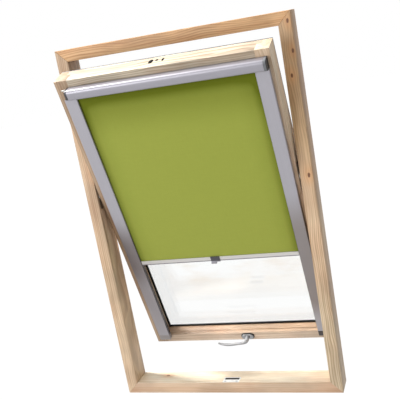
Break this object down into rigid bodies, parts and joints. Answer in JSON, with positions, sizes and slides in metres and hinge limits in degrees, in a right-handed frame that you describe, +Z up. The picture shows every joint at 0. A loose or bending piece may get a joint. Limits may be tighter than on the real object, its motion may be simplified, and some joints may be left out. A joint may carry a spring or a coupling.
{
  "type": "pivoting roof window with roller blind",
  "caption": "Pine roof window with a centre-pivot sash, turning handle and a spring roller blind guided in side rails.",
  "frame": {"origin": "middle of the underside of the sill, half way through the frame's depth", "axes": "+X to the right seen from the room, +Y out of the room through the window, +Z up along the jambs"},
  "size_m": [0.74, 0.4347, 1.18],
  "materials": {
    "frame_pine": "clear lacquered pine, warm, with knots",
    "sash_pine": "clear lacquered pine, greyer in the shade",
    "beech": "unfinished beech dowel",
    "zinc_steel": "bright zinc plate",
    "blind_aluminium": "satin anodised, silver",
    "spacer_aluminium": "mill finish",
    "cladding_grey": "satin grey coil coating",
    "handle_silver": "satin silver lacquer on die-cast metal",
    "glass": "clear float glass",
    "black_rubber": "matt black extruded rubber",
    "grey_plastic": "dark grey moulded plastic",
    "black_plastic": "black moulded plastic",
    "nylon": "natural nylon",
    "blind_fabric": "olive green woven blackout cloth"
  },
  "bodies": {
    "frame": {"frame_sill": "frame_pine", "frame_head": "frame_pine", "frame_left_jamb": "frame_pine", "frame_right_jamb": "frame_pine", "strike_plate": "zinc_steel", "head_seal": "black_rubber", "frame_left_pivot_plate": "zinc_steel", "frame_right_pivot_plate": "zinc_steel", "left_pivot_pin": "zinc_steel", "right_pivot_pin": "zinc_steel", "lower_left_dowel": "beech", "lower_right_dowel": "beech", "upper_left_dowel": "beech", "upper_right_dowel": "beech"},
    "sash": {"sash_left_stile": "sash_pine", "sash_right_stile": "sash_pine", "sash_top_rail": "sash_pine", "sash_bottom_rail": "sash_pine", "inner_glass_pane": "glass", "outer_glass_pane": "glass", "glazing_spacer": "spacer_aluminium", "inner_glazing_gasket": "black_rubber", "outer_glazing_gasket": "black_rubber", "cladding_top": "cladding_grey", "cladding_bottom": "cladding_grey", "cladding_left": "cladding_grey", "cladding_right": "cladding_grey", "sash_left_pivot_plate": "zinc_steel", "sash_right_pivot_plate": "zinc_steel", "left_pivot_bush": "nylon", "right_pivot_bush": "nylon", "sash_bottom_seal": "black_rubber", "lock_case": "zinc_steel", "handle_rose": "handle_silver", "handle_rose_base": "black_plastic", "blind_cassette": "blind_aluminium", "cassette_left_cap": "grey_plastic", "cassette_right_cap": "black_plastic", "cassette_left_clip": "zinc_steel", "cassette_right_clip": "zinc_steel", "tension_pin": "nylon", "left_guide_rail": "blind_aluminium", "right_guide_rail": "blind_aluminium", "left_rail_end_cap": "grey_plastic", "right_rail_end_cap": "grey_plastic", "fabric_sheet": "blind_fabric", "spring_rod": "zinc_steel", "roller_right_pin": "zinc_steel"},
    "roller": {"roller_tube": "blind_aluminium", "fabric_roll": "blind_fabric", "roller_left_plug": "nylon", "roller_right_plug": "nylon", "balance_spring": "zinc_steel"},
    "blind_bar": {"bottom_bar": "blind_aluminium", "left_bar_glide": "nylon", "right_bar_glide": "nylon", "pull_tab": "grey_plastic"},
    "handle": {"handle_lever": "handle_silver", "handle_spindle": "zinc_steel", "lock_hook": "zinc_steel"}
  },
  "joints": [
    {"name": "sash_pivot", "type": "hinge", "parent": "frame", "child": "sash", "pos_m": [0, -0.019, 0.707], "axis": [1, 0, 0], "range_deg": [-18.8, 141.2]},
    {"name": "handle_turn", "type": "hinge", "parent": "sash", "child": "handle", "pos_m": [0.022, 0.1746, 0.10106], "axis": [0, -0.9466, -0.3223], "range_deg": [0, 90]},
    {"name": "blind_slide", "type": "slide", "parent": "sash", "child": "blind_bar", "axis": [0, -0.3223, 0.9466], "range_m": [-0.314, 0.6165], "deforming": ["fabric_sheet"]},
    {"name": "roller_spin", "type": "hinge", "parent": "sash", "child": "roller", "pos_m": [0, -0.17187, 1.05426], "axis": [1, 0, 0], "range_deg": [-1530, 3000]}
  ],
  "couplings": [
    {"joint": "roller_spin", "follows": "blind_slide", "rad_per_m": 84.7}
  ]
}
